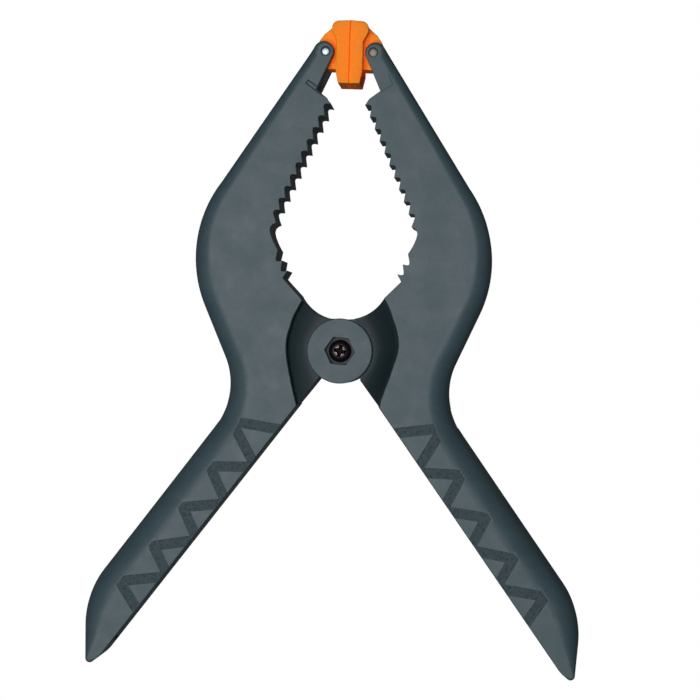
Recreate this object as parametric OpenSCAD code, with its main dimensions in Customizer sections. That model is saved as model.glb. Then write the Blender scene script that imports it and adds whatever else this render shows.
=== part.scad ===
// Spring clamp: two arms on one pivot screw, closed by a torsion spring, with two swivelling pads.
// Millimetres. The clamp lies flat: X across the handles, +Y towards the pads, +Z up through its
// thickness. The origin is on the pivot axis, in the plane that the clamp rests on.

/* [Arms] */
// Thickness of both arms, from the resting side to the upper side
arm_t = 28; // [24:0.5:34]
// Distance from the pivot to the pad pins, along the jaws
jaw_l = 102.8; // [85:0.1:125]
// Half width of the closed clamp at the belly of the jaws
belly_w = 51.8; // [48:0.1:62]
// Half width at the waist, beside the pivot
waist_w = 38.1; // [34:0.1:42]
// Distance from the pivot to the handle ends, along Y
handle_l = 111; // [93:0.5:133]
// Half spread of the handle ends
handle_w = 85.3; // [76:0.1:95]
// Wall between a handle's back and its open channel
back_wall = 4.5; // [3:0.1:6]
// Thickness of the two cheeks of a handle
cheek = 4; // [3:0.1:5]

/* [Jaw teeth] */
// Pitch of the teeth on the straight of the jaw
tooth_pitch = 4.48; // [3.6:0.01:5.4]
// Pitch of the teeth below the gullet
low_pitch = 3.9; // [3.2:0.1:4.6]
// Depth of the teeth
tooth_d = 1.9; // [1.2:0.1:2.2]
// Number of teeth below the gullet
low_teeth = 3; // [2:1:4]
// Half width of the jaw opening where it is widest
gullet_w = 23.5; // [20:0.1:27]

/* [Pivot] */
// Radius of the hub discs
hub_r = 11.2; // [10:0.1:13]
// Thickness of the outer ear, which carries the disc
outer_ear = 6.2; // [5.8:0.1:7]
// Thickness of the inner ear
inner_ear = 2.5; // [2:0.1:3]
// Gap between ears that turn on each other
ear_gap = 0.25; // [0.15:0.05:0.5]
// Depth of the hexagonal pockets in the discs
pocket_d = 4.2; // [3.6:0.1:4.6]
// Width across flats of the hexagonal pockets
pocket_af = 9.2; // [8.8:0.1:10.5]
// Diameter of the pivot screw
screw_d = 5; // [4:0.1:6]
// Diameter of the screw's head
head_d = 8.6; // [7.5:0.1:9]
// Height of the screw's head
head_h = 3; // [2.4:0.1:3.6]
// Width across flats of the nut
nut_af = 8; // [7:0.1:8.6]

/* [Spring] */
// Wire diameter
wire_d = 2.9; // [2:0.1:3]
// Radius of the coil, to the middle of the wire
coil_r = 8; // [6.5:0.1:8.5]
// Whole turns of the coil, besides the part turn between its legs
coil_turns = 2; // [1:1:2]
// Reach of the legs down the handles
leg_reach = 63; // [50:1:70]

/* [Pads] */
// Half distance between the pad pins in the closed clamp
pin_x = 8.2; // [7.6:0.1:10]
// Diameter of the pad pins
pin_d = 3.2; // [2.6:0.1:3.6]
// Thickness of a pad's face plate
plate_t = 4.6; // [3:0.1:4.7]
// Height of a pad above its pin
pad_up = 10.9; // [9:0.1:14]
// Height of a pad below its pin
pad_down = 10.8; // [8:0.1:11]
// Width of the fork's slot, which holds the pad's lug
fork_slot = 15; // [12:0.1:18]

/* [Clearances] */
// Radial clearance of a turning bore
run_gap = 0.05; // [0.02:0.01:0.1]
// Radial clearance of a fixed pin
fix_gap = 0.02; // [0.01:0.01:0.05]
// Side clearance of a pad's lug in its fork
lug_gap = 0.3; // [0.2:0.05:0.6]
// Gap between the two closed pads
pad_gap = 0.1; // [0.05:0.05:0.5]

/* [Hidden] */
over = 1;              // how far cutters run past a face
nylon = "slategray";
steel = "silver";

// ---- Plane geometry ----
function unit(v) = v / norm(v);
function turn90(v) = [-v.y, v.x];
function arc(c, r, a0, a1, n) =
    [for (i = [0:n]) let (a = a0 + (a1 - a0) * i / n) c + r * [cos(a), sin(a)]];
// Points of a corner at p, between a and b, rounded with radius r in n steps
function corner(a, p, b, r, n) =
    let (u = unit(a - p), v = unit(b - p), half = acos(u * v) / 2, mid = unit(u + v),
         c = p + mid * r / sin(half), s = p + u * r / tan(half), e = p + v * r / tan(half))
    [for (i = [0:n])
        let (k = i / n, turn = (90 - half) * 2, d = (s - c) * sin((1 - k) * turn) + (e - c) * sin(k * turn))
        c + unit(d) * r];
// Point where the tangent from p touches the circle at c; side is 1 or -1
function touch(c, r, p, side) =
    let (d = p - c, a = atan2(d.y, d.x) + side * acos(r / norm(d))) c + r * [cos(a), sin(a)];

// ---- Outline of an arm, as the right one, closed ----
pin_at = [pin_x, jaw_l];
tip_r = 3.5;
tip_at = pin_at + [0.7, 0];
belly_p = [belly_w + 5.8, 37.2];
belly_r = 43;
waist_p = [waist_w - 3.9, -15.8];
waist_r = 24;
heel_p = [handle_w + 0.7, -handle_l + 24];
heel_r = 30;
end_p = [handle_w - 1.3, -handle_l - 0.6];
end_r = 1.5;
lip_p = end_p + [-4.8, 4];
lip_r = 12;
hub_edge = -1.1;       // the handle's inner edge passes this far beyond the pivot
lip_u = unit(lip_p - [hub_edge * 0.8, hub_edge * 0.6]);
hub_foot = lip_u * hub_r;
throat_c = [2, 25];
throat_r = 14;
throat_p = throat_c + throat_r * [cos(-30), sin(-30)];
wall_p = throat_p + [6.2, 6.4];
first_tip = pin_at + [-2.25, -18.2];
last_tip = [18.9, 27];
gullet_p = [gullet_w + 2.2, 39.6];
gullet_r = 20;
root_p = pin_at + [2.8, -13.2];
shoulder_p = pin_at + [-0.9, -16];

outer_back = concat(
    [touch(tip_at, tip_r, belly_p, 1)],
    corner(tip_at, belly_p, waist_p, belly_r, 10),
    corner(belly_p, waist_p, heel_p, waist_r, 8),
    corner(waist_p, heel_p, end_p, heel_r, 6),
    [end_p]);

// ---- Teeth along the jaw: tips on a line that turns at the gullet ----
half_turn = 90 - acos(unit(first_tip - gullet_p) * unit(last_tip - gullet_p)) / 2;
bend_l = gullet_r * tan(half_turn);
run_a = norm(first_tip - gullet_p) - bend_l;
run_b = norm(last_tip - gullet_p) - bend_l;
bend_arc = gullet_r * half_turn * PI / 90;
dir_a = unit(gullet_p - first_tip);
dir_b = unit(last_tip - gullet_p);
bend_c = gullet_p - dir_a * bend_l + turn90(-dir_a) * gullet_r;
function jaw_at(s) =
    s < run_a ? first_tip + dir_a * s
    : s < run_a + bend_arc
        ? let (a = atan2(dir_a.x, -dir_a.y) - (s - run_a) / gullet_r * 180 / PI)
          bend_c + gullet_r * [cos(a), sin(a)]
    : last_tip - dir_b * (run_a + bend_arc + run_b - s);
function jaw_in(s) = let (d = unit(jaw_at(s + 0.1) - jaw_at(s - 0.1))) turn90(d);
jaw_run = run_a + bend_arc + run_b;
top_teeth = floor((run_a + bend_arc / 2) / tooth_pitch) + 1;
tips = concat([for (i = [0:top_teeth - 1]) i * tooth_pitch],
              [for (i = [low_teeth - 1:-1:0]) jaw_run - i * low_pitch]);
// Shape of the gap after a tooth: how far along it, and how deep; it leans with the tooth's hook
gap_shape = [[0.16, 0.88], [0.3, 1], [0.55, 0.66], [0.82, 0.24]];
function gap_point(s0, s1, g, hooked) =
    let (s = hooked ? s0 + (s1 - s0) * g[0] : s1 - (s1 - s0) * g[0]) jaw_at(s) + jaw_in(s) * tooth_d * g[1];
toothed_edge = [for (i = [0:len(tips) - 1]) each
    i == len(tips) - 1 ? [jaw_at(tips[i])]
    : let (hooked = i < top_teeth)
      concat([jaw_at(tips[i])],
             [for (k = [0:3]) gap_point(tips[i], tips[i + 1], gap_shape[hooked ? k : 3 - k], hooked)])];

tip_in = touch(tip_at, tip_r, root_p, -1);
tip_out = touch(tip_at, tip_r, belly_p, 1);
tip_a0 = atan2(tip_in.y - tip_at.y, tip_in.x - tip_at.x);
tip_a1 = atan2(tip_out.y - tip_at.y, tip_out.x - tip_at.x);
tip_ends = arc(tip_at, tip_r, tip_a0 < 0 ? tip_a0 + 360 : tip_a0, tip_a1, 12);
arm_outline = concat(
    [for (i = [0:len(outer_back) - 2]) outer_back[i]],
    corner(heel_p, end_p, lip_p, end_r, 4),
    corner(end_p, lip_p, hub_foot, lip_r, 4),
    [hub_foot * 0.8, [-2, -2], [-2, 6], [1.7, 9], [1.9, 11]],
    arc(throat_c, throat_r, -90, -30, 8),
    [wall_p],
    [for (i = [len(toothed_edge) - 1:-1:0]) toothed_edge[i]],
    [shoulder_p, root_p],
    tip_ends);
// ---- Rounding of the back: radius of the edge at a place y along the arm ----
function edge_r(y) = lookup(y, [[-113, 1], [-109, 1.6], [-104, 3.6], [-97, 6], [-88, 7.8], [-60, 9], [-35, 8.5],
                                [0, 6.5], [30, 6], [70, 4], [110, 3]]);
function inward(i) =
    let (a = outer_back[max(0, i - 1)], b = outer_back[min(len(outer_back) - 1, i + 1)]) turn90(-unit(b - a));
edge_steps = 5;
function edge_ring(p, n, r) = concat(
    [[p - n * over, -over], [p + n * r * 0.92, -over]],
    [for (k = [0:edge_steps]) let (a = 5 + 80 * k / edge_steps) [p + n * r * (1 - sin(a)), r * (1 - cos(a))]],
    [[p - n * over, r + over]]);
last_i = len(outer_back) - 1;
edge_path = concat(
    [[outer_back[0] + unit(outer_back[0] - outer_back[1]) * 8, inward(0), edge_r(jaw_l)]],
    [for (i = [0:last_i]) [outer_back[i], inward(i), edge_r(outer_back[i].y)]],
    [[end_p + unit(end_p - heel_p) * 3, inward(last_i), edge_r(end_p.y)]]);

// Cutter that rounds the outer edge on the resting side
module edge_cutter() {
    rings = [for (s = edge_path) edge_ring(s[0], s[1], s[2])];
    m = len(rings[0]);
    n = len(rings);
    points = [for (ring = rings) for (q = ring) [q[0].x, q[0].y, q[1]]];
    sides = [for (i = [0:n - 2]) for (k = [0:m - 1]) let (a = i * m + k, b = i * m + (k + 1) % m)
        each [[a, b, b + m], [a, b + m, a + m]]];
    caps = [[for (k = [m - 1:-1:0]) k], [for (k = [0:m - 1]) (n - 1) * m + k]];
    polyhedron(points, concat(sides, caps));
}

// ---- Heights ----
inner_low = arm_t - outer_ear - ear_gap - inner_ear;
inner_top = arm_t - outer_ear - ear_gap;
valley_r = 19.3;
valley_d = 3;
floor_d = 4.5;
socket_gap = 1;

// Region between the pivot and the flat side of the arm; d shrinks or grows the round part
module hub_region() {
    polygon(concat([[-hub_r - over, -hub_r - 12], [13.3, -20.2]], arc([0, 0], valley_r, -38, 40, 16),
        [throat_p + [-0.4, 0.3], [-hub_r - over, throat_p.y + 8]]));
}

module hexagon(af) circle(d = af / cos(30), $fn = 6);

// Slot of the fork, in the frame of the jaw's tip: open to the inside, and to the back near the pin
fork_turn = atan2(belly_p.y - tip_at.y, belly_p.x - tip_at.x);
fork_depth = 12.8;
fork_back = 6;
module fork_slot_shape() {
    translate(pin_at) rotate(fork_turn) {
        translate([-12, -14]) square([12 + fork_back, 26]);
        translate([-over, -14]) square([fork_depth + over, 15]);
    }
}

// Channel of the handle, open along the inner edge
channel_top = -27;
channel_end = -handle_l + 13;
function channel_wall() = [for (i = [0:last_i]) let (q = outer_back[i] + inward(i) * back_wall)
    if (q.y < channel_top && q.y > channel_end) q];
module channel_shape() {
    wall = channel_wall();
    polygon(concat(
        [[lip_u.x * (-channel_top) / 0.8 - 6, channel_top], [waist_w + 0.4, channel_top]],
        wall, [lip_p + [-8, -1]]));
}

// Way for the spring's leg, from the coil into the handle
leg_a = -42.9 - asin(coil_r / leg_reach);
module leg_way() {
    rotate(leg_a) translate([0, 2.5]) square([46, coil_r + 7]);
}

module arm() {
    difference() {
        union() {
            difference() {
                linear_extrude(arm_t) polygon(arm_outline);
                edge_cutter();
                translate([0, 0, arm_t]) mirror([0, 0, 1]) edge_cutter();
                // Valley around this arm's own disc
                translate([0, 0, -over]) linear_extrude(over + valley_d) hub_region();
            }
            // Disc on the outer ear, and the inner ear
            cylinder(r = hub_r, h = outer_ear + over, $fn = 96);
            translate([0, 0, inner_low - over]) cylinder(r = hub_r, h = inner_ear + 2 * over, $fn = 96);
        }
        // Space for the spring and the other arm's inner ear
        translate([0, 0, outer_ear]) cylinder(r = hub_r + 1.8, h = inner_low - outer_ear, $fn = 96);
        translate([0, 0, outer_ear]) linear_extrude(inner_low - outer_ear) leg_way();
        // Socket for the other arm's disc, and the sunken floor around it
        translate([0, 0, inner_top]) cylinder(r = hub_r + socket_gap, h = arm_t, $fn = 96);
        translate([0, 0, arm_t - floor_d]) linear_extrude(arm_t) hub_region();
        // Pivot bore and hexagonal pocket
        translate([0, 0, -over]) cylinder(r = screw_d / 2 + run_gap, h = arm_t + 2 * over, $fn = 64);
        translate([0, 0, -over]) linear_extrude(over + pocket_d) hexagon(pocket_af);
        // Fork and its pin bore
        translate([0, 0, (arm_t - fork_slot) / 2]) linear_extrude(fork_slot) fork_slot_shape();
        translate([pin_at.x, pin_at.y, -over])
            cylinder(r = pin_d / 2 + fix_gap, h = arm_t + 2 * over, $fn = 48);
        // Handle channel
        translate([0, 0, cheek]) linear_extrude(arm_t - 2 * cheek) channel_shape();
    }
}

// ---- Pads ----
plate_w = arm_t - 1;
head_t = plate_t + 1.7;
module plate_shape() {
    polygon(concat(
        [[pad_gap / 2, jaw_l - pad_down], [plate_t - 0.9, jaw_l - pad_down], [plate_t, jaw_l - 6.9],
         [plate_t, jaw_l + 3.7], [head_t, jaw_l + pad_up - 4]],
        corner([head_t, jaw_l], [head_t, jaw_l + pad_up - 0.4], [pad_gap / 2, jaw_l + pad_up], 2, 4),
        [[pad_gap / 2, jaw_l + pad_up]]));
}
lug_r = 3.9;
module lug_shape() {
    polygon([[plate_t - 1, jaw_l - 5.6], [pin_x - 0.7, jaw_l - 5.6], [pin_x + 1.6, jaw_l - 3.55],
             [pin_x + lug_r - 0.3, jaw_l + 1.3], [pin_x + 2.6, jaw_l + 4], [pin_x + 1, jaw_l + 6.3],
             [head_t, jaw_l + pad_up - 2.1], [plate_t - 1, jaw_l + pad_up - 2.1]]);
    translate(pin_at) circle(r = lug_r, $fn = 48);
}
module pad() {
    difference() {
        union() {
            translate([0, 0, (arm_t - plate_w) / 2]) linear_extrude(plate_w) plate_shape();
            translate([0, 0, (arm_t - fork_slot) / 2 + lug_gap])
                linear_extrude(fork_slot - 2 * lug_gap) lug_shape();
        }
        translate([pin_at.x, pin_at.y, 0]) cylinder(r = pin_d / 2 + run_gap, h = arm_t, $fn = 48);
    }
}
module pad_pin() {
    translate([pin_at.x, pin_at.y, 0.3]) cylinder(d = pin_d, h = arm_t - 0.6, $fn = 48);
}

// ---- Named pieces ----
// The left arm is the right arm's moulding turned over
module turned_over() translate([0, 0, arm_t]) rotate([0, 180, 0]) children();

module left_arm() color(nylon) turned_over() arm();
module right_arm() color(nylon) arm();
module left_pad() color("darkorange") turned_over() pad();
module right_pad() color("darkorange") pad();
module left_pad_pin() color(steel) turned_over() pad_pin();
module right_pad_pin() color(steel) pad_pin();

module pivot_screw() color("dimgray") difference() {
    union() {
        cylinder(d = screw_d, h = arm_t - pocket_d, $fn = 64);
        translate([0, 0, arm_t - pocket_d]) cylinder(d = head_d, h = head_h, $fn = 64);
    }
    // Cross recess
    for (a = [0, 90]) rotate(a)
        translate([-head_d / 4, -0.5, arm_t - pocket_d + head_h - 1.6]) cube([head_d / 2, 1, 3]);
}

module pivot_nut() color("gray") {
    difference() {
        translate([0, 0, pocket_d - 4]) linear_extrude(4) hexagon(nut_af);
        cylinder(d = screw_d + 2 * fix_gap, h = arm_t, $fn = 64);
    }
}

// ---- Torsion spring: right leg, coil, left leg ----
leg_out = [cos(leg_a), sin(leg_a)];
coil_low = outer_ear + ear_gap + inner_ear + 0.15 + wire_d / 2;
coil_high = arm_t - coil_low;
coil_from = leg_a + 90;
coil_sweep = 360 * coil_turns + 180 - 2 * coil_from;
coil_n = 22 * coil_turns + 6;
function coil_point(i) = let (a = coil_from + coil_sweep * i / coil_n)
    [coil_r * cos(a), coil_r * sin(a), coil_low + (coil_high - coil_low) * i / coil_n];
leg_start = coil_r * [cos(coil_from), sin(coil_from)];
leg_end = leg_start + leg_out * leg_reach;
leg_tip = leg_end + unit(heel_p - waist_p) * 6;
right_leg = [[leg_tip.x, leg_tip.y, coil_low], [leg_end.x, leg_end.y, coil_low]];
left_leg = [[-leg_end.x, leg_end.y, coil_high], [-leg_tip.x, leg_tip.y, coil_high]];
spring_path = concat(right_leg, [for (i = [0:coil_n]) coil_point(i)], left_leg);

function wire_way(i) = unit(spring_path[min(len(spring_path) - 1, i + 1)] - spring_path[max(0, i - 1)]);
function wire_side(i) = unit(cross(wire_way(i), [0, 0, 1]));
function wire_lift(i) = cross(wire_side(i), wire_way(i));
module torsion_spring() {
    n = len(spring_path);
    m = 8;
    points = [for (i = [0:n - 1]) for (k = [0:m - 1]) let (a = 360 * k / m)
        spring_path[i] + wire_d / 2 * (wire_side(i) * cos(a) + wire_lift(i) * sin(a))];
    sides = [for (i = [0:n - 2]) for (k = [0:m - 1]) let (a = i * m + k, b = i * m + (k + 1) % m)
        each [[a, b, b + m], [a, b + m, a + m]]];
    caps = [[for (k = [m - 1:-1:0]) k], [for (k = [0:m - 1]) (n - 1) * m + k]];
    color("lightgray") polyhedron(points, concat(sides, caps));
}

left_arm();
right_arm();
left_pad();
right_pad();
left_pad_pin();
right_pad_pin();
pivot_screw();
pivot_nut();
torsion_spring();
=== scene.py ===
import math

import bmesh
import bpy
import numpy as np
from bpy.props import FloatProperty, FloatVectorProperty, PointerProperty
from mathutils import Matrix, Vector


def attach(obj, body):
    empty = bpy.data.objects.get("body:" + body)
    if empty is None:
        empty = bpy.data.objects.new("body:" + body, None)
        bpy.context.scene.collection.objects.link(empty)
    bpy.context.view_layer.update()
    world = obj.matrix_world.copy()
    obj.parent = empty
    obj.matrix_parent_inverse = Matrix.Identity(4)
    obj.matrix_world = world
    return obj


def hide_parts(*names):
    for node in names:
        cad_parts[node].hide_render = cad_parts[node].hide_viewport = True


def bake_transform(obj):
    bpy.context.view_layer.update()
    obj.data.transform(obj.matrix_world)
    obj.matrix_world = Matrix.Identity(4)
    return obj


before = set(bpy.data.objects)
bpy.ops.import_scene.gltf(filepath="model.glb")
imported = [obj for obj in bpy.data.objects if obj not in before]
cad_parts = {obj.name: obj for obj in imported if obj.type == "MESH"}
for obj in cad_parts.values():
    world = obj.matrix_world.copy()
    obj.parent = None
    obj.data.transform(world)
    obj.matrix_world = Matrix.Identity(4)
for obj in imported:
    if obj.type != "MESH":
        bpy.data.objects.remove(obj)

bl_info = {
    "name": "Spring clamp looks",
    "version": (1, 0, 0),
    "blender": (4, 5, 0),
    "location": "3D View > Sidebar > Clamp",
    "description": "Builds the visible surfaces of a nylon spring clamp around its fixed frame",
    "category": "Object",
}

MM = 0.001

# Sizes in millimetres that several pieces share
EAR_GAP = 0.25          # between one arm's inner ear and the other arm's outer ear
FORK_GAP = 15           # width of the slot in the forked tip
POCKET_DEPTH = 4.2      # hexagonal pockets for the screw's head and the nut
POCKET_FLATS = 9.2
NUT_FLATS = 8
SCREW_R = 2.5
HEX_TURN = 4            # how far the hexagons are turned, in degrees
BACK_WALL = 4.5         # wall behind the handle's channel
CHEEK = 4               # wall on each side of the channel
CHANNEL_TOP = -27       # where the channel starts, along Y
CHANNEL_STOP = 13       # how far it stays from the handle's end
LEG_REACH = 63          # length of a spring leg
LEG_ANGLE = -42.9       # direction from the pivot to the leg's end, in degrees

# The stage, in metres
AIM = Vector((2.9, 0.47, 14)) * MM
FLOOR_Z = -0.35
FLOOR_HALF = 4
KEY_PLACE, KEY_SIZE = (-0.14, 0, 1.25), 0.6
SIDE_PLACE, SIDE_SIZE = (-1.0, -0.1, 0.75), 0.5


def linear(code):
    """A six-figure sRGB hex colour as a linear colour."""
    parts = [int(code[i:i + 2], 16) / 255 for i in (0, 2, 4)]
    return [c / 12.92 if c <= 0.04045 else ((c + 0.055) / 1.055) ** 2.4 for c in parts]


def size(name, text, default, low=0.0):
    """A length property, in metres, from a default in millimetres."""
    return FloatProperty(name=name, description=text, default=default * MM, min=low, unit="LENGTH",
                         precision=5)


def colour(name, text, code):
    return FloatVectorProperty(name=name, description=text, default=linear(code), min=0, max=1,
                               subtype="COLOR")


class ClampSizes(bpy.types.PropertyGroup):
    thickness: size("Thickness", "Thickness of both arms", 28)
    jaw: size("Jaw length", "Distance from the pivot to the pad pins", 102.8)
    pin_x: size("Pin offset", "Half distance between the pad pins", 8.2)
    pin_d: size("Pin diameter", "Diameter of the pad pins", 3.2)
    belly: size("Belly", "Half width of the jaws at their widest", 51.8)
    waist: size("Waist", "Half width beside the pivot", 38.1)
    handle_l: size("Handle length", "Distance from the pivot to the handle ends", 111)
    handle_w: size("Handle spread", "Half spread of the handle ends", 85.3)
    hub: size("Hub radius", "Radius of the hub discs", 11.2)
    outer_ear: size("Outer ear", "Thickness of the ear that carries the disc", 6.2)
    inner_ear: size("Inner ear", "Thickness of the inner ear", 2.5)
    tooth_pitch: size("Tooth pitch", "Pitch of the jaw teeth", 4.48)
    low_pitch: size("Low tooth pitch", "Pitch of the teeth below the gullet", 3.9)
    tooth_depth: size("Tooth depth", "Depth of the jaw teeth", 1.9)
    band: size("Grip band", "Width of the stippled grip band", 3.4)
    band_depth: size("Band depth", "How far the grip band lies below the cheek", 0.12)
    wire: size("Wire", "Diameter of the spring's wire", 2.9)
    coil: size("Coil radius", "Radius of the spring to the middle of its wire", 8)
    plate: size("Pad plate", "Thickness of a pad's face plate", 4.6)
    edge_break: size("Edge break", "Small radius where moulded faces meet", 0.3)


class ClampColours(bpy.types.PropertyGroup):
    nylon: colour("Nylon", "Slate grey of the arms", "334349")
    orange: colour("Pads", "Orange of the pads", "f08018")
    # The left pin's lighter colour is painted highlight for the lamp that its end catches.
    pin_left: colour("Bright pin", "Steel of the left pin", "6d767c")
    pin_right: colour("Dull pin", "Steel of the right pin", "6b625c")
    screw: colour("Screw", "Dark plated steel of the screw and nut", "5a5054")
    spring: colour("Spring", "Spring wire", "8a8c8e")


class ClampStage(bpy.types.PropertyGroup):
    distance: FloatProperty(name="Camera distance", description="From the clamp's middle to the camera",
                            default=1.146, min=0.2, unit="LENGTH")
    lens: FloatProperty(name="Lens", description="Focal length in millimetres", default=169.7, min=10)
    side: FloatProperty(name="Side turn", description="How far the camera stands to the right",
                        default=math.radians(2.8), subtype="ANGLE")
    roll: FloatProperty(name="Roll", description="Roll of the camera",
                        default=math.radians(1.9), subtype="ANGLE")
    key: FloatProperty(name="Key light", description="Power of the main soft light", default=17, min=0)
    fill: FloatProperty(name="Side light", description="Power of the weak light from the left",
                        default=0.9, min=0)
    ambient: FloatProperty(name="Ambient", description="Strength of the even room light",
                           default=0.03, min=0)


# ---- Plane geometry, in millimetres ----

def vec(*v):
    return np.array(v, float)


def unit(v):
    return v / np.linalg.norm(v)


def at_angle(degrees):
    a = math.radians(degrees)
    return vec(math.cos(a), math.sin(a))


def angle_of(v):
    return math.degrees(math.atan2(v[1], v[0]))


def arc(centre, r, start, end, n):
    return [centre + r * at_angle(start + (end - start) * i / n) for i in range(n + 1)]


def corner(a, p, b, r, n):
    """Points of the corner at p between a and b, rounded with radius r."""
    u, v = unit(a - p), unit(b - p)
    half = math.acos(np.dot(u, v)) / 2
    centre = p + unit(u + v) * r / math.sin(half)
    s, e = p + u * r / math.tan(half), p + v * r / math.tan(half)
    a0, a1 = angle_of(s - centre), angle_of(e - centre)
    while a1 - a0 > 180:
        a1 -= 360
    while a1 - a0 < -180:
        a1 += 360
    return arc(centre, r, a0, a1, n)


def touch(centre, r, p, side):
    """Where the tangent from p touches a circle."""
    d = p - centre
    return centre + r * at_angle(angle_of(d) + side * math.degrees(math.acos(r / np.linalg.norm(d))))


def ribbon(path, width):
    """Outline of a band of even width along a bent path."""
    left, right = [], []
    for i, p in enumerate(path):
        ways = [unit(b - a) for a, b in zip(path[max(0, i - 1):i + 1], path[max(0, i - 1) + 1:i + 2])]
        mean = unit(sum(ways))
        out = vec(-mean[1], mean[0])
        stretch = width / 2 / max(0.35, abs(np.dot(out, vec(-ways[0][1], ways[0][0]))))
        left.append(p + out * stretch)
        right.append(p - out * stretch)
    return left + right[::-1]


class Shape:
    """Outline of one arm, as the right one, and the places that other pieces take from it."""

    def __init__(self, s):
        mm = {k: getattr(s, k) / MM for k in ClampSizes.__annotations__}
        self.mm = mm
        self.t = mm["thickness"]
        self.pin = vec(mm["pin_x"], mm["jaw"])
        self.tip = self.pin + vec(0.7, 0)
        self.tip_r = 3.5
        self.belly = vec(mm["belly"] + 5.8, 37.2)
        self.waist = vec(mm["waist"] - 3.9, -15.8)
        self.heel = vec(mm["handle_w"] + 0.7, -mm["handle_l"] + 24)
        self.end = vec(mm["handle_w"] - 1.3, -mm["handle_l"] - 0.6)
        self.lip = self.end + vec(-4.8, 4)
        edge_start = vec(-0.88, -0.66)
        self.lip_way = unit(self.lip - edge_start)
        self.hub = mm["hub"]
        self.throat = vec(2, 25)
        self.throat_r = 14
        self.inner_low = self.t - mm["outer_ear"] - EAR_GAP - mm["inner_ear"]
        self.inner_top = self.t - mm["outer_ear"] - EAR_GAP
        self.make_jaw()
        self.make_back()
        self.make_outline()

    def make_jaw(self):
        """Tips and valleys of the teeth, along two straight runs joined by an arc."""
        mm = self.mm
        first, last = self.pin + vec(-2.25, -18.2), vec(18.9, 27)
        bend, r = vec(25.7, 39.6), 20
        u, v = unit(first - bend), unit(last - bend)
        turn = 90 - math.degrees(math.acos(np.dot(u, v))) / 2
        cut = r * math.tan(math.radians(turn))
        run_a, run_b = np.linalg.norm(first - bend) - cut, np.linalg.norm(last - bend) - cut
        way = -u
        centre = bend - way * cut + vec(way[1], -way[0]) * r
        bent = math.radians(2 * turn) * r
        total = run_a + bent + run_b

        def at(s):
            if s < run_a:
                return first + way * s
            if s < run_a + bent:
                start = math.degrees(math.atan2(way[0], -way[1]))
                return centre + r * at_angle(start - math.degrees((s - run_a) / r))
            return last - v * (total - s)

        def into(s):
            d = unit(at(s + 0.1) - at(s - 0.1))
            return vec(-d[1], d[0])

        top = int((run_a + bent / 2) / mm["tooth_pitch"]) + 1
        stations = [i * mm["tooth_pitch"] for i in range(top)]
        stations += [total - i * mm["low_pitch"] for i in (2, 1, 0)]
        gap = [(0.07, 0.55), (0.15, 0.88), (0.26, 1.0), (0.42, 0.84), (0.66, 0.48), (0.86, 0.18)]
        edge = []
        for i, s0 in enumerate(stations):
            edge.append(at(s0))
            if i + 1 < len(stations):
                s1 = stations[i + 1]
                hooked = i < top
                for g, d in (gap if hooked else gap[::-1]):
                    s = s0 + (s1 - s0) * g if hooked else s1 - (s1 - s0) * g
                    edge.append(at(s) + into(s) * mm["tooth_depth"] * d)
        self.teeth = edge

    def make_back(self):
        """The outer edge without teeth, from the tip to the handle's end."""
        self.back = ([touch(self.tip, self.tip_r, self.belly, 1)]
                     + corner(self.tip, self.belly, self.waist, 43, 26)
                     + corner(self.belly, self.waist, self.heel, 24, 20)
                     + corner(self.waist, self.heel, self.end, 30, 14) + [self.end])

    def edge_radius(self, y):
        """How far the back's edge is rounded at a place along the arm."""
        return float(np.interp(y, [-112, -109, -104, -97, -88, -60, -35, 0, 30, 70, 104, 108],
                               [0.9, 1.6, 3.6, 6.0, 7.8, 9, 8.5, 6.5, 6, 4, 3, 1.2]))

    def make_outline(self):
        """Points of the outline with the radius that each rounds its edge by."""
        small = self.mm["edge_break"]
        back = dense(self.back[:-1], 3.0)
        loop = [(p, self.edge_radius(p[1])) for p in back]
        loop += [(p, 0.9) for p in corner(self.heel, self.end, self.lip, 1.5, 5)]
        low = corner(self.end, self.lip, self.lip - self.lip_way * 30, 12, 6)
        loop += [(p, small) for p in low]
        foot = self.lip_way * self.hub
        loop += [(p, small) for p in (foot * 0.8, vec(-2, -2), vec(-2, 6), vec(1.7, 9), vec(1.9, 11))]
        throat = arc(self.throat, self.throat_r, -90, -30, 14)
        loop += [(p, small) for p in throat]
        loop += [(throat[-1] + vec(6.2, 6.4), small)]
        loop += [(p, small * 0.4) for p in self.teeth[::-1]]
        root = self.pin + vec(2.8, -13.2)
        loop += [(self.pin + vec(-0.9, -16), small)]
        loop += [(root, small)]
        inner = touch(self.tip, self.tip_r, root, -1)
        outer = self.back[0]
        a0, a1 = angle_of(inner - self.tip), angle_of(outer - self.tip)
        if a0 < 0:
            a0 += 360
        nose = arc(self.tip, self.tip_r, a0, a1, 24)
        loop += [(p, small + (3 - small) * i / 24 * 0.4) for i, p in enumerate(nose)]
        points = np.array([p for p, _ in loop])
        radii = np.array([r for _, r in loop])
        keep = np.linalg.norm(points - np.roll(points, 1, axis=0), axis=1) > 0.02
        self.points, self.radii = points[keep], radii[keep]


def dense(points, step):
    """The same path with points no further apart than step."""
    out = [points[0]]
    for a, b in zip(points, points[1:]):
        n = max(1, math.ceil(np.linalg.norm(b - a) / step))
        out += [a + (b - a) * k / n for k in range(1, n + 1)]
    return out


# ---- Meshes ----

def mesh_of(name, verts, faces, materials=()):
    mesh = bpy.data.meshes.new(name)
    mesh.from_pydata([tuple(v) for v in verts], [], [tuple(f) for f in faces])
    for m in materials:
        mesh.materials.append(m)
    bm = bmesh.new()
    bm.from_mesh(mesh)
    bmesh.ops.recalc_face_normals(bm, faces=bm.faces)
    bmesh.ops.triangulate(bm, faces=[f for f in bm.faces if len(f.verts) > 4])
    bm.to_mesh(mesh)
    bm.free()
    mesh.update()
    return mesh


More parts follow.
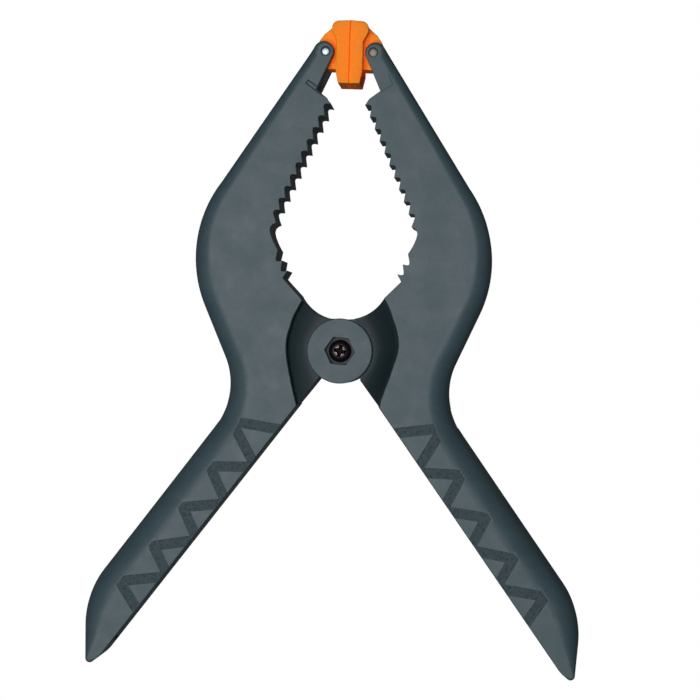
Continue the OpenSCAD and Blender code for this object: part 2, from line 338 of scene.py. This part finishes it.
def rings_mesh(name, rings, materials=()):
    """A closed solid through equal rings of points."""
    m = len(rings[0])
    verts = [p for ring in rings for p in ring]
    faces = []
    for i in range(len(rings) - 1):
        for k in range(m):
            a, b = i * m + k, i * m + (k + 1) % m
            faces.append((a, b, b + m, a + m))
    faces.append(tuple(range(m))[::-1])
    faces.append(tuple((len(rings) - 1) * m + k for k in range(m)))
    return mesh_of(name, verts, faces, materials)


def prism(name, points, z0, z1, materials=()):
    return rings_mesh(name, [[(p[0], p[1], z) for p in points] for z in (z0, z1)], materials)


def lathe(name, profile, steps, centre=(0, 0), materials=()):
    """A turned solid from (radius, height) pairs; the first and last lie on the axis."""
    verts = [(centre[0], centre[1], profile[0][1])]
    for r, z in profile[1:-1]:
        for k in range(steps):
            a = 2 * math.pi * k / steps
            verts.append((centre[0] + r * math.cos(a), centre[1] + r * math.sin(a), z))
    verts.append((centre[0], centre[1], profile[-1][1]))
    faces = [(0, 1 + (k + 1) % steps, 1 + k) for k in range(steps)]
    rows = len(profile) - 2
    for i in range(rows - 1):
        for k in range(steps):
            a, b = 1 + i * steps + k, 1 + i * steps + (k + 1) % steps
            faces.append((a, b, b + steps, a + steps))
    last, top = 1 + (rows - 1) * steps, len(verts) - 1
    faces += [(last + k, last + (k + 1) % steps, top) for k in range(steps)]
    return mesh_of(name, verts, faces, materials)


def drum(name, r, z0, z1, steps=96, centre=(0, 0), low=0.0, materials=()):
    """A round bar with its lower rim rounded by low."""
    profile = [(0, z0)]
    for k in range(4 if low else 1):
        a = math.pi / 2 * (k / 3 if low else 1)
        profile.append((r - low * (1 - math.sin(a)), z0 + low * (1 - math.cos(a))))
    return lathe(name, profile + [(r, z1), (0, z1)], steps, centre, materials)


def place(name, mesh):
    ob = bpy.data.objects.new(name, mesh)
    bpy.context.scene.collection.objects.link(ob)
    return ob


def combine(mesh, steps):
    """Applies (operation, tool mesh) pairs to a mesh, in millimetres, and returns the result."""
    body = place("work", mesh)
    tools = []
    for i, (operation, tool) in enumerate(steps):
        other = place("tool%d" % i, tool)
        tools.append(other)
        mod = body.modifiers.new("step%d" % i, "BOOLEAN")
        mod.operation = operation
        mod.object = other
        mod.solver = "MANIFOLD"
        mod.material_mode = "TRANSFER"
    bpy.context.view_layer.update()
    made = bpy.data.meshes.new_from_object(body.evaluated_get(bpy.context.evaluated_depsgraph_get()))
    for other in [body] + tools:
        bpy.data.objects.remove(other)
    if len(made.polygons) < 6:
        raise RuntimeError("combining %s left nothing" % mesh.name)
    return made


def show(name, mesh, node, body, matrix=None, sharp=32):
    """Puts a finished mesh, made in millimetres, in the scene in place of a frame node."""
    mesh.transform(Matrix.Scale(MM, 4) @ (matrix or Matrix.Identity(4)))
    ob = place(name, mesh)
    mesh.name = name
    mesh.shade_smooth()
    mesh.set_sharp_from_angle(angle=math.radians(sharp))
    mod = ob.modifiers.new("flat faces stay flat", "WEIGHTED_NORMAL")
    mod.keep_sharp = True
    mod.weight = 80
    if body:
        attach(ob, body)
    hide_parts(node)
    return ob


# ---- Materials ----

def add(tree, kind, inputs=None, **settings):
    """Adds one shader node, with its settings and its inputs: values or other nodes' outputs."""
    made = tree.nodes.new(kind)
    for key, value in settings.items():
        setattr(made, key, value)
    for key, value in (inputs or {}).items():
        if isinstance(value, bpy.types.NodeSocket):
            tree.links.new(value, made.inputs[key])
        else:
            made.inputs[key].default_value = value
    return made


def shade(c, k):
    return (c[0] * k, c[1] * k, c[2] * k, 1)


def blended(tree, factor, a, b):
    """The colour between a and b that a factor picks."""
    mix = add(tree, "ShaderNodeMix", {"Factor": factor}, data_type="RGBA")
    for key, value in (("A", a), ("B", b)):
        [sock for sock in mix.inputs if sock.name == key and sock.type == "RGBA"][0].default_value = value
    return [sock for sock in mix.outputs if sock.type == "RGBA"][0]


def new_material(name):
    mat = bpy.data.materials.new(name)
    mat.use_nodes = True
    mat.node_tree.nodes.clear()
    return mat, mat.node_tree


def moulded(name, c, rough, mottle=0.1, stipple=0.0, glow=0.0, edge=0.25, gloss=0.19):
    """Injection-moulded plastic: a cloudy tone over centimetres, a fine eroded grain, softened edges."""
    mat, tree = new_material(name)
    here = add(tree, "ShaderNodeTexCoord").outputs["Object"]
    cloud = add(tree, "ShaderNodeTexNoise",
                {"Vector": here, "Scale": 1 / 0.009, "Detail": 3.0, "Roughness": 0.6}).outputs["Fac"]
    speck = add(tree, "ShaderNodeTexNoise",
                {"Vector": here, "Scale": 1 / 0.0011, "Detail": 2.0}).outputs["Fac"]
    both = add(tree, "ShaderNodeMath", {0: cloud, 1: speck}, operation="ADD")
    level = add(tree, "ShaderNodeMapRange", {"Value": both.outputs[0], "From Min": 0.7, "From Max": 1.3})
    tone = blended(tree, level.outputs[0], shade(c, 1 - mottle), shade(c, 1 + mottle))
    height = add(tree, "ShaderNodeTexNoise",
                 {"Vector": here, "Scale": 1 / 0.0004, "Detail": 2.0}).outputs["Fac"]
    if stipple:
        dots = add(tree, "ShaderNodeTexVoronoi", {"Vector": here, "Scale": 1 / 0.0009, "Randomness": 0.7})
        pits = add(tree, "ShaderNodeMapRange", {"Value": dots.outputs["Distance"], "From Min": 0.1,
                                                "From Max": 0.5, "To Max": 3.0})
        height = add(tree, "ShaderNodeMath", {0: pits.outputs[0], 1: height}, operation="ADD").outputs[0]
    edges = add(tree, "ShaderNodeBevel", {"Radius": edge * MM}, samples=4)
    bump = add(tree, "ShaderNodeBump", {"Height": height, "Distance": (0.03 + stipple) * MM, "Strength": 0.5,
                                        "Normal": edges.outputs[0]})
    worn = add(tree, "ShaderNodeMapRange", {"Value": cloud, "From Min": 0.3, "From Max": 0.7,
                                            "To Min": rough - 0.04, "To Max": rough + 0.05})
    skin = add(tree, "ShaderNodeBsdfPrincipled", {"Base Color": tone, "Roughness": worn.outputs[0],
                                                  "Normal": bump.outputs[0], "Specular IOR Level": gloss})
    if glow:
        # Painted glow: where the occlusion finds no lamp reaching, a deep red emission is added, standing in for
        # light let through this plastic; the subsurface scattering below is real
        shaded = add(tree, "ShaderNodeAmbientOcclusion", {"Distance": 0.006}, samples=8)
        painted_glow_strength = add(tree, "ShaderNodeMapRange", {"Value": shaded.outputs["AO"], "From Min": 0.35,
                                                "From Max": 0.9, "To Min": 0.2, "To Max": 0.0})
        tree.links.new(painted_glow_strength.outputs[0], skin.inputs["Emission Strength"])
        skin.inputs["Emission Color"].default_value = (1, 0.05, 0.008, 1)
        skin.inputs["Subsurface Weight"].default_value = glow
        skin.inputs["Subsurface Radius"].default_value = (0.009, 0.0016, 0.0003)
        skin.inputs["Subsurface Scale"].default_value = 1.0
    add(tree, "ShaderNodeOutputMaterial", {"Surface": skin.outputs[0]})
    return mat


def metal(name, c, rough, mark=0.0006, edge=0.12):
    """Drawn or plated steel: fine marks from making, a slightly uneven sheen."""
    mat, tree = new_material(name)
    here = add(tree, "ShaderNodeTexCoord").outputs["Object"]
    marks = add(tree, "ShaderNodeTexNoise",
                {"Vector": here, "Scale": 1 / mark, "Detail": 3.0}).outputs["Fac"]
    tone = blended(tree, marks, shade(c, 0.8), shade(c, 1.15))
    edges = add(tree, "ShaderNodeBevel", {"Radius": edge * MM}, samples=4)
    bump = add(tree, "ShaderNodeBump", {"Height": marks, "Distance": 0.02 * MM, "Strength": 0.4,
                                        "Normal": edges.outputs[0]})
    worn = add(tree, "ShaderNodeMapRange", {"Value": marks, "To Min": rough - 0.06, "To Max": rough + 0.1})
    skin = add(tree, "ShaderNodeBsdfPrincipled", {"Base Color": tone, "Metallic": 1.0,
                                                  "Roughness": worn.outputs[0], "Normal": bump.outputs[0]})
    add(tree, "ShaderNodeOutputMaterial", {"Surface": skin.outputs[0]})
    return mat


# ---- Pieces ----

def turned_over(t):
    """The left arm is the right arm's moulding turned over about the Y axis."""
    return Matrix.Translation((0, 0, t)) @ Matrix.Rotation(math.pi, 4, "Y")


def inward_ways(p):
    """For each point of a closed outline, the unit vector that points into it."""
    ahead, behind = np.roll(p, -1, axis=0) - p, p - np.roll(p, 1, axis=0)
    n1 = ahead / np.linalg.norm(ahead, axis=1)[:, None]
    n0 = behind / np.linalg.norm(behind, axis=1)[:, None]
    way = n0 + n1
    way /= np.linalg.norm(way, axis=1)[:, None]
    area = np.sum(p[:, 0] * np.roll(p[:, 1], -1) - np.roll(p[:, 0], -1) * p[:, 1])
    return np.stack([-way[:, 1], way[:, 0]], 1) * (1 if area > 0 else -1)


def body_mesh(sh, materials):
    """The arm's solid with its rounded outer edges."""
    p, r = sh.points, sh.radii
    inward = inward_ways(p)
    rings = []
    steps = 8
    for k in range(steps + 1):
        a = math.pi / 2 * k / steps
        q = p + inward * (r * (1 - math.sin(a)))[:, None]
        rings.append(np.column_stack([q, r * (1 - math.cos(a))]))
    upper = [np.column_stack([ring[:, :2], sh.t - ring[:, 2]]) for ring in rings[::-1]]
    return rings_mesh("arm", [list(map(tuple, ring)) for ring in rings + upper], materials)


def hollow(name, edge, start, first, last, side, materials, inner=8.0):
    """A cutter for the sunken floor beside the hub; side is the cheek's height and direction."""
    z_face, up = side
    angles = np.arange(-84, 113, 3.0)
    rings = []
    for a in angles:
        reach = float(np.interp(a, edge[0], edge[1]))
        span = reach - start
        rows = [(inner, first)] + [(start + span * u, first + (last - first) * u ** 1.7)
                                   for u in np.linspace(0, 0.93, 8)]
        rows += [(reach - 0.25, last * 0.93), (reach, last * 0.7), (reach + 0.12, 0.3), (reach + 0.35, 0.12),
                 (reach + 0.6, -0.05), (reach + 0.6, -1.5), (inner, -1.5)]
        d = at_angle(a)
        rings.append([(d[0] * q, d[1] * q, z_face - up * z) for q, z in rows])
    return rings_mesh(name, rings, materials)


def hexagon(flats):
    """Outline of a hexagon with this width across its flats, round the pivot."""
    return [at_angle(60 * k + HEX_TURN) * flats / 2 / math.cos(math.pi / 6) for k in range(6)]


def hub_cuts(sh, nylon, shade_painted_nylon):
    """What the hub adds to the arm and takes from it, in order."""
    mm, t, hub, mats = sh.mm, sh.t, sh.mm["hub"], (nylon,)
    # Reach of each sunken floor from the pivot, by angle
    disc_edge = ([-90, -53, -50, -40, -30, -20, -10, -4, 5, 24, 43.5, 57, 65, 112],
                 [26, 23.6, 22.4, 20.3, 18.9, 18.2, 18.0, 18.0, 18.2, 18.6, 20.2, 22, 24, 26])
    socket_edge = ([-90, -53, -48, -38, -28, -20, -12, 6, 20, 32.5, 50, 60, 112],
                   [26, 23.4, 21.6, 19.9, 19.1, 18.8, 18.8, 19.9, 20.4, 20.9, 23.0, 25, 27])
    way = leg_direction(sh)
    across = vec(-way[1], way[0])
    lane = [way * a + across * b for a, b in ((0, 2.5), (46, 2.5), (46, 17.5), (0, 17.5))]
    # The valley, the sunken floor and the hex pocket take the shade-painted nylon: painted shade for these
    # recesses.
    return [
        ("DIFFERENCE", hollow("valley", disc_edge, hub - 0.2, 0.35, 4.2, (0, -1), (shade_painted_nylon,))),
        ("UNION", drum("disc", hub, 0, mm["outer_ear"] + 0.8, low=0.35, materials=mats)),
        ("UNION", drum("ear", hub, sh.inner_low - 0.8, sh.inner_top + 0.8, materials=mats)),
        ("DIFFERENCE", drum("slot", hub + 1.8, mm["outer_ear"], sh.inner_low, materials=mats)),
        ("DIFFERENCE", prism("lane", lane, mm["outer_ear"] + 0.01, sh.inner_low - 0.01, mats)),
        ("DIFFERENCE", drum("socket", hub + 1, sh.inner_top, t + 3, materials=mats)),
        ("DIFFERENCE", hollow("floor", socket_edge, hub + 1, 1.0, 6.2, (t, 1), (shade_painted_nylon,), inner=7.0)),
        ("DIFFERENCE", drum("bore", SCREW_R + 0.05, -2, t + 2, 48, materials=mats)),
        ("DIFFERENCE", prism("pocket", hexagon(POCKET_FLATS), -1, POCKET_DEPTH, (shade_painted_nylon,)))]


def tip_cuts(sh, nylon):
    """The fork that holds a pad, and the bore for its pin."""
    turn = math.atan2(*(sh.belly - sh.tip)[::-1])
    u, v = vec(math.cos(turn), math.sin(turn)), vec(-math.sin(turn), math.cos(turn))
    corners = ((-12, 12), (6, 12), (6, 1), (12.8, 1), (12.8, -14), (-12, -14))
    fork = [sh.pin + u * a + v * b for a, b in corners]
    low, high, r = (sh.t - FORK_GAP) / 2, (sh.t + FORK_GAP) / 2, sh.mm["pin_d"] / 2 + 0.04
    return [("DIFFERENCE", prism("fork", fork, low, high, (nylon,))),
            ("DIFFERENCE", drum("pin bore", r, -2, sh.t + 2, 40, sh.pin, materials=(nylon,)))]


def surface_marks(sh, nylon, stipple, shade_painted_nylon):
    """The grip bands, and the witness lines that mould inserts leave near the tip."""
    t, deep = sh.t, sh.mm["band_depth"]
    band = ribbon(zigzag(sh), sh.mm["band"])
    cuts = [("DIFFERENCE", prism("band low", band, -1, deep, (stipple,))),
            ("DIFFERENCE", prism("band high", band, t - deep, t + 1, (stipple,)))]
    a, b = sh.pin + vec(5.6, -10.2), sh.pin + vec(-0.4, -14.4)
    over = unit(vec(-(b - a)[1], (b - a)[0])) * 1.3
    # The witness lines take the shade-painted nylon, painted dark as shade in their grooves.
    for k, ends in enumerate(((a, b), (a + over, b + over), (a, a + over), (b, b + over))):
        cuts.append(("DIFFERENCE", prism("witness %d" % k, ribbon(ends, 0.42), -1, 0.5, (shade_painted_nylon,))))
    bent = [sh.pin + vec(3.3, -13.3), sh.pin + vec(7.1, -10.9), sh.pin + vec(5.6, -7.5)]
    cuts.append(("DIFFERENCE", prism("witness high", ribbon(bent, 0.28), t - 0.12, t + 1, (nylon,))))
    return cuts


def arm_mesh(sh, nylon, stipple, shade_painted_nylon):
    """The right arm: the rounded body with its hub, fork, channel and marks."""
    steps = hub_cuts(sh, nylon, shade_painted_nylon) + tip_cuts(sh, nylon)
    steps.append(("DIFFERENCE", prism("channel", channel(sh), CHEEK, sh.t - CHEEK, (nylon,))))
    return combine(body_mesh(sh, (nylon, stipple)), steps + surface_marks(sh, nylon, stipple, shade_painted_nylon))


def leg_direction(sh):
    """Direction of a spring leg, which leaves the coil as a tangent and ends in the handle."""
    return at_angle(LEG_ANGLE - math.degrees(math.asin(sh.mm["coil"] / LEG_REACH)))


def channel(sh):
    """Outline of the handle's open channel."""
    wall = []
    for a, b in zip(sh.back, sh.back[1:]):
        d = unit(b - a)
        q = a + vec(d[1], -d[0]) * BACK_WALL
        if -sh.mm["handle_l"] + CHANNEL_STOP < q[1] < CHANNEL_TOP:
            wall.append(q)
    top = vec(sh.lip_way[0] * -CHANNEL_TOP / 0.8 - 6, CHANNEL_TOP)
    return [top, vec(sh.mm["waist"] + 0.4, CHANNEL_TOP)] + wall + [sh.lip + vec(-8, -1)]


def zigzag(sh):
    """Middle line of the stippled grip band, between the inner edge and the rounded back."""
    way, out = vec(0.6, -0.8), vec(0.8, 0.6)
    reach = [14, 10, 8.5, 8, 9.5]
    path = []
    for i in range(5):
        path.append(way * (33 + 16.1 * i) + out * -2.5)
        path.append(way * (42 + 16.8 * i) + out * reach[i])
    return path + [way * (33 + 16.1 * 5) + out * -2.5]


def pad_mesh(sh, orange):
    """The right pad: a face plate with a head, and a tab that swivels on the pin inside the fork."""
    mm, t = sh.mm, sh.t
    j, th = mm["jaw"], mm["plate"]
    head, top, low = th + 1.7, j + 10.9, j - 10.8
    outline = [vec(0.05, low), vec(th - 0.9, low), vec(th, j - 6.9), vec(th, j + 3.7), vec(head, top - 4)]
    outline += corner(vec(head, j), vec(head, top - 0.4), vec(0.05, top), 2.4, 8) + [vec(0.05, top)]
    plate = rings_mesh("plate", rounded(outline, 0.5, 13.5, t / 2, 0.45), (orange,))
    lug = [vec(th - 1, j - 5.6), sh.pin + vec(-0.7, -5.6), sh.pin + vec(1.6, -3.55)]
    lug += arc(sh.pin, 3.9, -64, 20, 10) + [sh.pin + vec(2.6, 4), sh.pin + vec(1, 6.3),
                                            vec(head, top - 2.1), vec(th - 1, top - 2.1)]
    tab = rings_mesh("tab", rounded(lug, 0.4, 7.2, t / 2, 0.3), (orange,))
    hole = drum("hole", mm["pin_d"] / 2 + 0.05, 0, t, 40, sh.pin)
    return combine(plate, [("UNION", tab), ("DIFFERENCE", hole)])


def rounded(outline, r, half, middle, z_round):
    """Rings of a flat solid whose two outlines are softened."""
    p = np.array(outline)
    inward = inward_ways(p)
    rings = []
    for k in range(4):
        a = math.pi / 2 * k / 3
        q = p + inward * r * (1 - math.sin(a))
        rings.append(np.column_stack([q, np.full(len(q), middle - half + z_round * (1 - math.cos(a)))]))
    upper = [np.column_stack([ring[:, :2], 2 * middle - ring[:, 2]]) for ring in rings[::-1]]
    return [list(map(tuple, ring)) for ring in rings + upper]


def pin_mesh(sh, steel):
    """A pin with slightly domed ends."""
    r, t = sh.mm["pin_d"] / 2, sh.t
    ends = [(0, 0.32), (0.7, 0.34), (1.25, 0.4), (1.5, 0.52), (r, 0.75)]
    body = lathe("pin", ends + [(q, t - z) for q, z in ends[::-1]], 40, materials=(steel,))
    body.transform(Matrix.Translation((sh.pin[0], sh.pin[1], 0)))
    return body


def screw_mesh(sh, steel, dark):
    """A pan-head screw with a cross recess; seat is the height that its head bears on."""
    seat = sh.t - POCKET_DEPTH
    dome = [(3.9, seat + 0.3), (3.8, seat + 1.0), (3.45, seat + 1.7), (2.8, seat + 2.4), (1.9, seat + 2.85)]
    shank = [(0, 0.05), (2.2, 0.05), (SCREW_R, 0.35), (SCREW_R, seat), (3.7, seat)]
    body = lathe("screw", shank + dome + [(0, seat + 3)], 64, materials=(steel,))
    arms = []
    for k in range(4):
        a = 90 * k - 12
        d, n = at_angle(a), at_angle(a + 90)
        arms += [d * 2.4 - n * 0.62, d * 2.4 + n * 0.62, (d + n) * 0.85]
    top = [(p[0], p[1], seat + 3.5) for p in arms]
    foot = [(p[0] * 0.6, p[1] * 0.6, seat + 0.7) for p in arms]
    # The cross's faces take the near-black steel: painted shade inside the recess.
    cross = rings_mesh("cross", [foot, top], (dark,))
    return combine(body, [("DIFFERENCE", cross)])


def nut_mesh(steel):
    """A hexagon nut with its corners turned off."""
    body = prism("nut", hexagon(NUT_FLATS), 0.2, POCKET_DEPTH, (steel,))
    cone = [(0, 0.15), (3.9, 0.15), (5.1, 0.85), (5.1, 3.55), (3.9, 4.25), (0, 4.25)]
    chamfer = lathe("chamfer", cone, 64, materials=(steel,))
    return combine(body, [("INTERSECT", chamfer), ("DIFFERENCE", drum("hole", SCREW_R + 0.02, -1, 6, 48))])


def spring_mesh(sh, steel):
    """The coil and its two legs, as one round wire."""
    mm, t = sh.mm, sh.t
    r = mm["wire"] / 2
    a_leg = angle_of(leg_direction(sh))
    low = mm["outer_ear"] + EAR_GAP + mm["inner_ear"] + 0.15 + r
    high = t - low
    start = a_leg + 90
    sweep = 720 + 180 - 2 * start
    n = 120
    coil = []
    for i in range(n + 1):
        q = at_angle(start + sweep * i / n) * mm["coil"]
        coil.append(vec(q[0], q[1], low + (high - low) * i / n))
    foot = at_angle(start) * mm["coil"]
    out = at_angle(a_leg)
    end = foot + out * LEG_REACH
    tip = end + unit(sh.heel - sh.waist) * 6
    leg = [vec(tip[0], tip[1], low)]
    leg += [vec(*(foot + out * LEG_REACH * k / 12), low) for k in range(12, 0, -1)]
    other = [vec(-p[0], p[1], high) for p in leg[::-1]]
    path = leg + coil + other
    rings = []
    for i, p in enumerate(path):
        way = unit(path[min(len(path) - 1, i + 1)] - path[max(0, i - 1)])
        side = unit(np.cross(way, vec(0, 0, 1)))
        lift = np.cross(side, way)
        rings.append([tuple(p + r * (side * math.cos(b) + lift * math.sin(b)))
                      for b in (2 * math.pi * k / 16 for k in range(16))])
    return rings_mesh("spring", rings, (steel,))


class CLAMP_OT_arms(bpy.types.Operator):
    """Builds both arms from one moulding, the left one turned over"""
    bl_idname = "clamp.arms"
    bl_label = "Build arms"

    def execute(self, context):
        sh = Shape(context.scene.clamp_sizes)
        c = context.scene.clamp_colours
        # A spark-eroded mould gives a fine even grain, with a broad soft sheen on the flat cheeks
        nylon = moulded("glass-filled nylon, spark-eroded", c.nylon, 0.46, 0.08)
        # Stipple scatters the light, so the grip bands look a little darker and duller than the cheeks
        stipple = moulded("glass-filled nylon, stippled grip", [v * 0.72 for v in c.nylon], 0.62, 0.12, 0.1)
        # Painted shade: the sunken floors, the hex pocket and the witness lines take the nylon's colour 0.36
        # times as dark, standing in for the shade that falls in these recesses, so they look nearly black
        shade_painted_nylon = moulded("glass-filled nylon, shade painted in recesses", [v * 0.36 for v in c.nylon],
                         0.5, 0.05, gloss=0.16)
        mesh = arm_mesh(sh, nylon, stipple, shade_painted_nylon)
        other = mesh.copy()
        show("right_arm_moulding", mesh, "right_arm", "right_arm")
        show("left_arm_moulding", other, "left_arm", "left_arm", turned_over(sh.t))
        return {"FINISHED"}


class CLAMP_OT_pads(bpy.types.Operator):
    """Builds the two swivelling pads"""
    bl_idname = "clamp.pads"
    bl_label = "Build pads"

    def execute(self, context):
        sh = Shape(context.scene.clamp_sizes)
        # A satin mould leaves hardly any shine, and the plastic lets a little light through, with a painted deep
        # red glow where no lamp reaches
        orange = moulded("orange plastic, satin mould", context.scene.clamp_colours.orange, 0.6, 0.04,
                         glow=0.5, edge=0.12, gloss=0.1)
        mesh = pad_mesh(sh, orange)
        other = mesh.copy()
        show("right_pad_face", mesh, "right_pad", "right_pad")
        show("left_pad_face", other, "left_pad", "left_pad", turned_over(sh.t))
        return {"FINISHED"}


class CLAMP_OT_pins(bpy.types.Operator):
    """Builds the two pins that the pads swivel on"""
    bl_idname = "clamp.pins"
    bl_label = "Build pins"

    def execute(self, context):
        sh = Shape(context.scene.clamp_sizes)
        c = context.scene.clamp_colours
        # The left pin's lighter, bluer colour is painted highlight where its end catches the lamp, on top of its
        # less rough finish; the right pin is given a darker, warmer colour and a rougher finish, so it looks dull
        bright = metal("drawn steel, bright", c.pin_left, 0.36)
        dull = metal("drawn steel, darker and rougher", c.pin_right, 0.55)
        show("right_pin_steel", pin_mesh(sh, dull), "right_pad_pin", "right_arm")
        show("left_pin_steel", pin_mesh(sh, bright), "left_pad_pin", "left_arm",
             turned_over(sh.t))
        return {"FINISHED"}


class CLAMP_OT_fasteners(bpy.types.Operator):
    """Builds the pivot screw and its nut"""
    bl_idname = "clamp.fasteners"
    bl_label = "Build pivot screw and nut"

    def execute(self, context):
        sh = Shape(context.scene.clamp_sizes)
        c = context.scene.clamp_colours.screw
        # Cold heading leaves an even dome with a soft highlight, and the punched cross is painted near-black, as
        # painted shade inside the recess
        steel = metal("dark plated steel, cold-headed", c, 0.38)
        dark = metal("dark plated steel, shade painted in the cross", shade(c, 0.06), 0.6)
        show("pivot_screw_steel", screw_mesh(sh, steel, dark), "pivot_screw", "right_arm")
        show("pivot_nut_steel", nut_mesh(steel), "pivot_nut", "right_arm")
        return {"FINISHED"}


class CLAMP_OT_spring(bpy.types.Operator):
    """Builds the torsion spring, which bends between the two arms"""
    bl_idname = "clamp.spring"
    bl_label = "Build spring"

    def execute(self, context):
        sh = Shape(context.scene.clamp_sizes)
        # Drawing polishes the wire along its length, and the oil evens its sheen
        wire = metal("drawn spring wire, oiled", context.scene.clamp_colours.spring, 0.35)
        ob = show("torsion_spring_wire", spring_mesh(sh, wire), "torsion_spring", None,
                  sharp=60)
        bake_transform(ob)
        return {"FINISHED"}


class CLAMP_OT_stage(bpy.types.Operator):
    """Sets the pale floor, the soft lights and the camera"""
    bl_idname = "clamp.stage"
    bl_label = "Set the stage"

    def execute(self, context):
        scene, st = context.scene, context.scene.clamp_stage
        back = Vector((math.sin(st.side), 0, math.cos(st.side)))
        right, up = Vector((math.cos(st.side), 0, -math.sin(st.side))), Vector((0, 1, 0))
        x = right * math.cos(st.roll) + up * math.sin(st.roll)
        y = up * math.cos(st.roll) - right * math.sin(st.roll)
        cam_data = bpy.data.cameras.new("Camera")
        cam_data.lens, cam_data.sensor_width = st.lens, 36
        cam_data.clip_start, cam_data.clip_end = 0.05, 20
        cam = bpy.data.objects.new("Camera", cam_data)
        scene.collection.objects.link(cam)
        turn = Matrix((x, y, back)).transposed().to_4x4()
        cam.matrix_world = Matrix.Translation(AIM + back * st.distance) @ turn
        scene.camera = cam
        self.floor()
        self.lights(scene, st)
        self.room(scene, st)
        scene.view_settings.view_transform = "Standard"
        return {"FINISHED"}

    def floor(self):
        """Paper that looks white, and throws little light back at the clamp."""
        mat, tree = new_material("pale studio paper")
        seen = add(tree, "ShaderNodeLightPath").outputs["Is Camera Ray"]
        paper = add(tree, "ShaderNodeBsdfDiffuse", {"Color": (0.2, 0.2, 0.2, 1)})
        white = add(tree, "ShaderNodeEmission", {"Color": (1, 1, 1, 1), "Strength": 1.0})
        mixed = add(tree, "ShaderNodeMixShader", {0: seen, 1: paper.outputs[0], 2: white.outputs[0]})
        add(tree, "ShaderNodeOutputMaterial", {"Surface": mixed.outputs[0]})
        half = FLOOR_HALF
        corners = [(-half, -half, FLOOR_Z), (half, -half, FLOOR_Z), (half, half, FLOOR_Z), (-half, half, FLOOR_Z)]
        place("Floor", mesh_of("Floor", corners, [(0, 1, 2, 3)], (mat,)))

    def lights(self, scene, st):
        lamps = (("Key", KEY_PLACE, st.key, KEY_SIZE), ("Side", SIDE_PLACE, st.fill, SIDE_SIZE))
        for name, spot, power, width in lamps:
            data = bpy.data.lights.new(name, "AREA")
            data.energy, data.size = power, width
            lamp = bpy.data.objects.new(name, data)
            scene.collection.objects.link(lamp)
            lamp.location = spot
            lamp.rotation_euler = (Vector((0, 0, 0.014)) - Vector(spot)).to_track_quat("-Z", "Y").to_euler()

    def room(self, scene, st):
        """An even room light, dim on the clamp and white behind it."""
        world = bpy.data.worlds.new("Room")
        scene.world = world
        world.use_nodes = True
        tree = world.node_tree
        tree.nodes.clear()
        seen = add(tree, "ShaderNodeLightPath").outputs["Is Camera Ray"]
        room = add(tree, "ShaderNodeBackground", {"Color": (1, 1, 1, 1), "Strength": st.ambient})
        white = add(tree, "ShaderNodeBackground", {"Color": (1, 1, 1, 1), "Strength": 1.0})
        mixed = add(tree, "ShaderNodeMixShader", {0: seen, 1: room.outputs[0], 2: white.outputs[0]})
        add(tree, "ShaderNodeOutputWorld", {"Surface": mixed.outputs[0]})


class CLAMP_PT_panel(bpy.types.Panel):
    bl_label = "Spring clamp"
    bl_idname = "CLAMP_PT_panel"
    bl_space_type = "VIEW_3D"
    bl_region_type = "UI"
    bl_category = "Clamp"

    def draw(self, context):
        for op in OPERATORS:
            self.layout.operator(op.bl_idname)
        for group in (context.scene.clamp_sizes, context.scene.clamp_colours, context.scene.clamp_stage):
            box = self.layout.box()
            for key in group.__annotations__:
                box.prop(group, key)


OPERATORS = (CLAMP_OT_arms, CLAMP_OT_pads, CLAMP_OT_pins, CLAMP_OT_fasteners, CLAMP_OT_spring,
             CLAMP_OT_stage)
GROUPS = (("clamp_sizes", ClampSizes), ("clamp_colours", ClampColours), ("clamp_stage", ClampStage))


def register():
    for _, group in GROUPS:
        bpy.utils.register_class(group)
    for cls in OPERATORS + (CLAMP_PT_panel,):
        bpy.utils.register_class(cls)
    for key, group in GROUPS:
        setattr(bpy.types.Scene, key, PointerProperty(type=group))


def unregister():
    for key, _ in GROUPS:
        delattr(bpy.types.Scene, key)
    for cls in (CLAMP_PT_panel,) + OPERATORS[::-1]:
        bpy.utils.unregister_class(cls)
    for _, group in GROUPS[::-1]:
        bpy.utils.unregister_class(group)


def main():
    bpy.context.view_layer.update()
    register()
    bpy.ops.clamp.arms()
    bpy.ops.clamp.pads()
    bpy.ops.clamp.pins()
    bpy.ops.clamp.fasteners()
    bpy.ops.clamp.spring()
    bpy.ops.clamp.stage()


if __name__ == "__main__":
    main()
